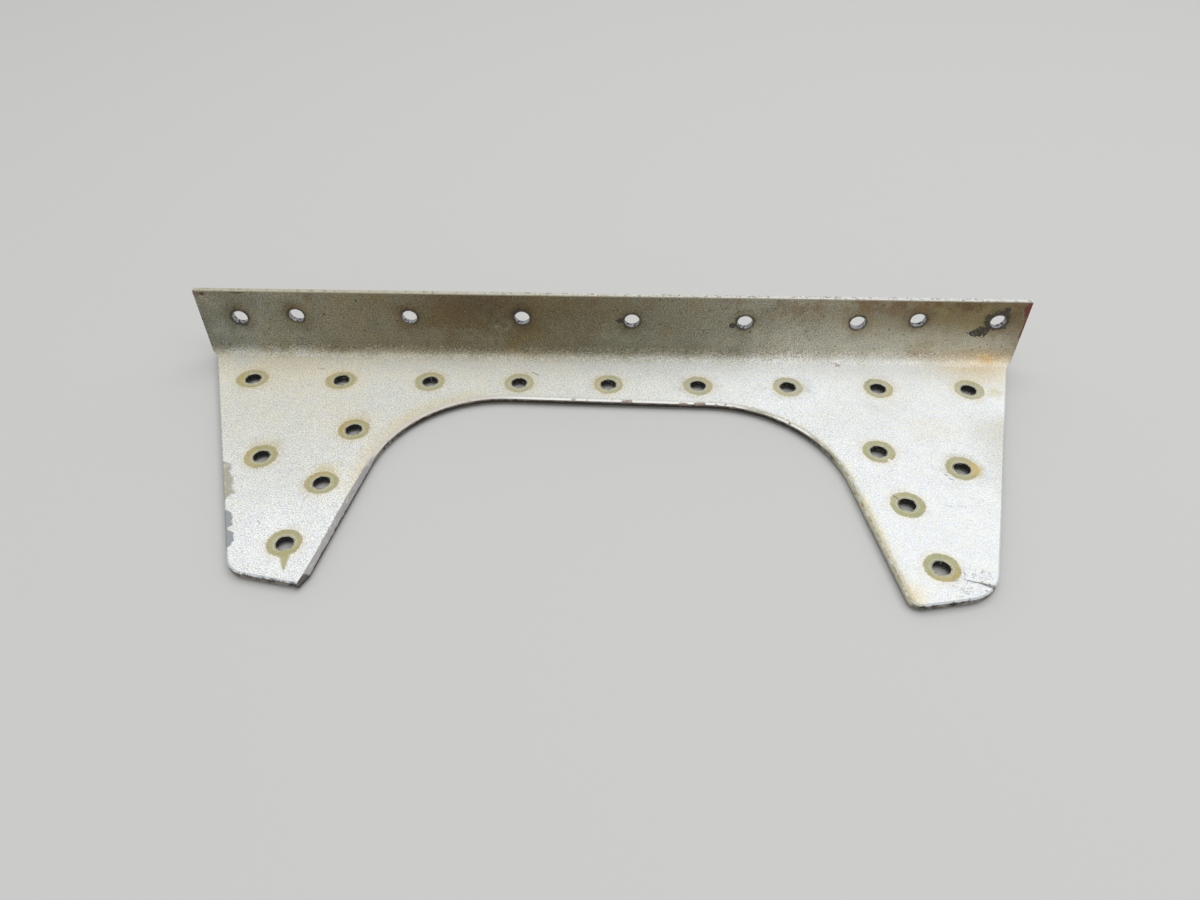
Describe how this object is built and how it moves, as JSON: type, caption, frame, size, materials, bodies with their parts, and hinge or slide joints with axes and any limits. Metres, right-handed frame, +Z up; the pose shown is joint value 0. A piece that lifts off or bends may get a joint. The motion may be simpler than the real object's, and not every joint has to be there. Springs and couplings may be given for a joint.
{
  "type": "bulkhead stiffener",
  "caption": "Folded sheet stiffener: a flat web with splayed legs around an arched cut-out, and an upstanding flange, drilled for rivets.",
  "frame": {"origin": "the middle hole of the web's rivet row, on the web's underside", "axes": "+X along the rivet row, towards the end with the larger leg corner; +Y from the row to the flange; +Z up, the way the flange stands from the web"},
  "size_m": [0.1762, 0.068, 0.0168],
  "materials": {
    "painted_sheet": "aged pale silver paint on aluminium sheet, with bare edges"
  },
  "bodies": {
    "root": {"bulkhead_stiffener": "painted_sheet"}
  },
  "joints": []
}
